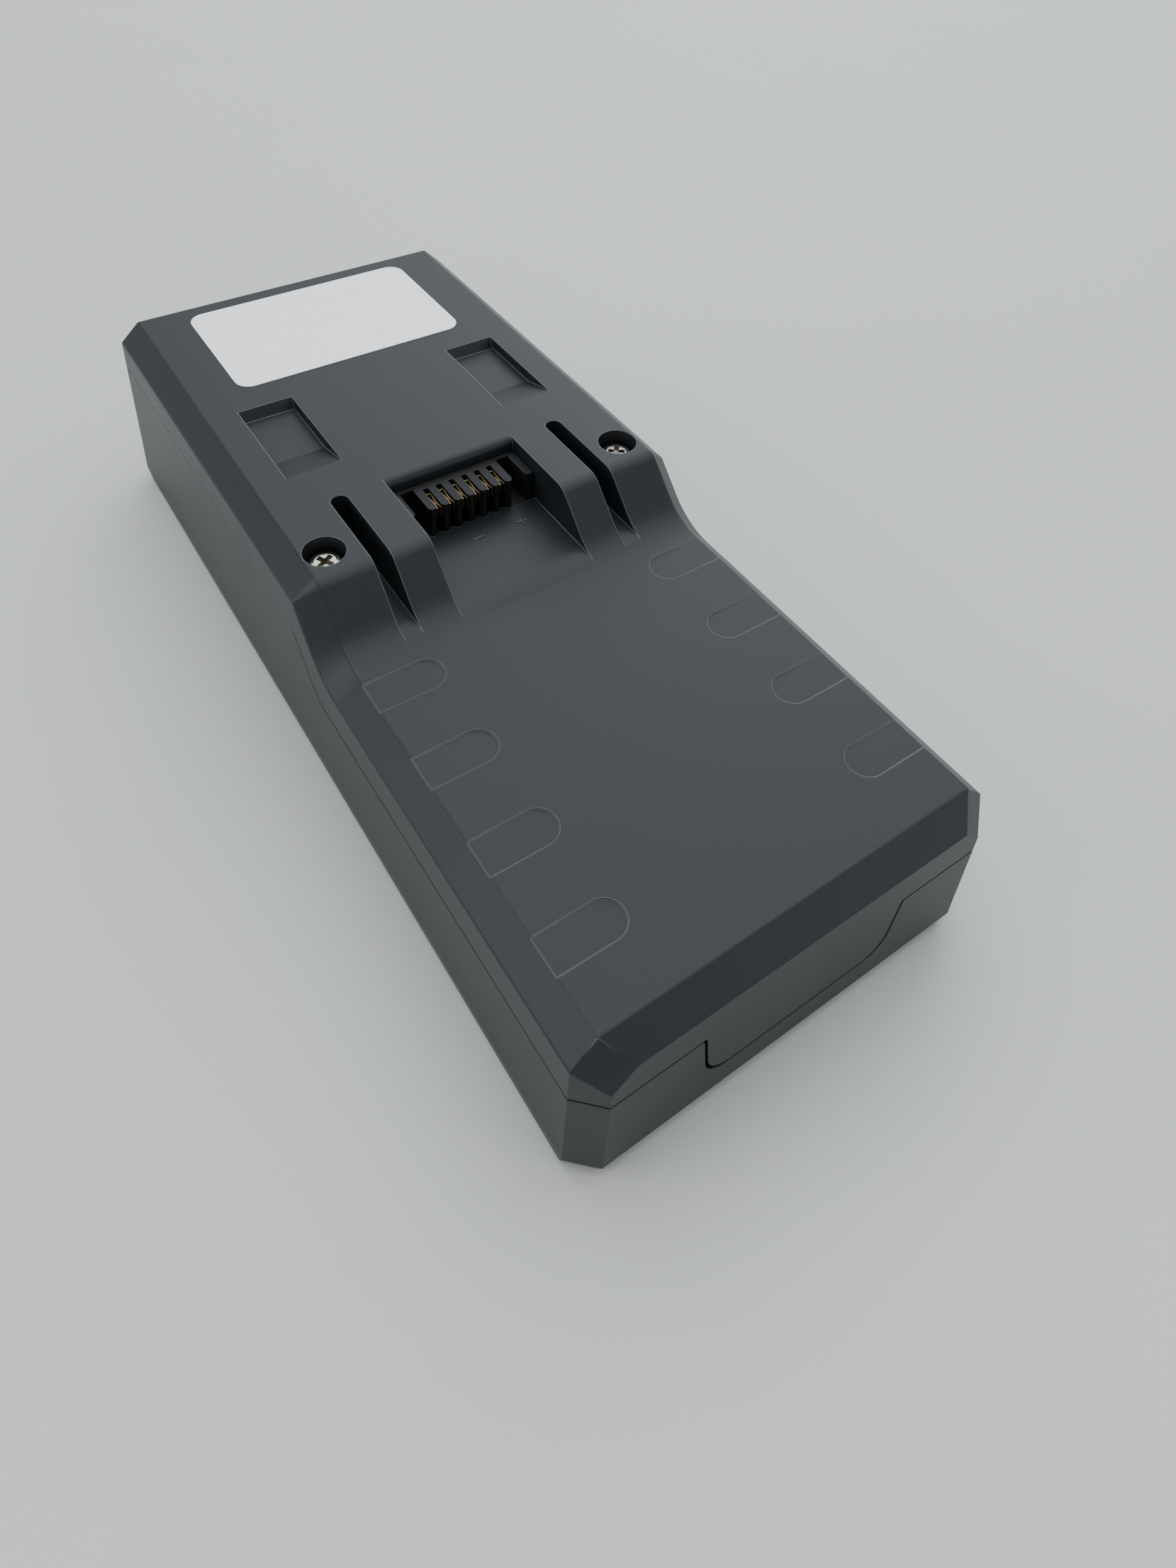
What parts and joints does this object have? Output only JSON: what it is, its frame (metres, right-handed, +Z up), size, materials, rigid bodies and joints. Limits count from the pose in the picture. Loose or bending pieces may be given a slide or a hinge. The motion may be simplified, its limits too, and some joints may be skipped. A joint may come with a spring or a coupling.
{
  "type": "cordless vacuum cleaner battery pack",
  "caption": "Slide-in battery pack for a cordless vacuum cleaner: stepped two-shell case with a recessed terminal bay, guide slots and latch pockets.",
  "frame": {"origin": "middle of the pack, on the plane of its bottom face", "axes": "+X across the pack, +Y along it from the low near end to the raised end with the label, +Z up from the bottom to the terminal side"},
  "size_m": [0.062, 0.148, 0.0333],
  "materials": {
    "case_plastic": "matte",
    "block_plastic": "matte",
    "contact_gold": "satin",
    "cell_wrap": "satin",
    "ring_board": "matte",
    "barley_paper": "matte",
    "nickel_strip": "satin",
    "red_wire": "satin",
    "black_wire": "satin",
    "sense_wire": "satin",
    "board_laminate": "satin",
    "chip_body": "matte",
    "resistor_metal": "satin",
    "fuse_body": "matte",
    "thermistor_epoxy": "gloss",
    "screw_nickel": "satin",
    "label_film": "satin",
    "tape_foam": "matte"
  },
  "bodies": {
    "root": {"blank_label": "label_film", "board_foam_strips": "tape_foam", "board_fuse": "fuse_body", "bottom_case": "case_plastic", "case_screws": "screw_nickel", "cell_1": "cell_wrap", "cell_2": "cell_wrap", "cell_3": "cell_wrap", "cell_4": "cell_wrap", "cell_5": "cell_wrap", "cell_6": "cell_wrap", "cell_tapes": "tape_foam", "contact_1": "contact_gold", "contact_2": "contact_gold", "contact_3": "contact_gold", "contact_4": "contact_gold", "contact_5": "contact_gold", "contact_6": "contact_gold", "control_chip": "chip_body", "cover_foam_strips": "tape_foam", "end_foam_blocks": "tape_foam", "far_end_link": "nickel_strip", "far_end_paper": "barley_paper", "far_sense_wire": "sense_wire", "insulating_rings": "ring_board", "middle_link_1": "nickel_strip", "middle_link_2": "nickel_strip", "middle_link_3": "nickel_strip", "middle_sense_wires": "sense_wire", "near_end_link": "nickel_strip", "near_end_paper": "barley_paper", "near_sense_wire": "sense_wire", "negative_lead": "black_wire", "negative_pole_tab": "nickel_strip", "positive_lead": "red_wire", "positive_pole_tab": "nickel_strip", "power_transistors": "chip_body", "protection_board": "board_laminate", "shunt_resistor": "resistor_metal", "terminal_block": "block_plastic", "thermistor": "thermistor_epoxy", "top_cover": "case_plastic"}
  },
  "joints": []
}
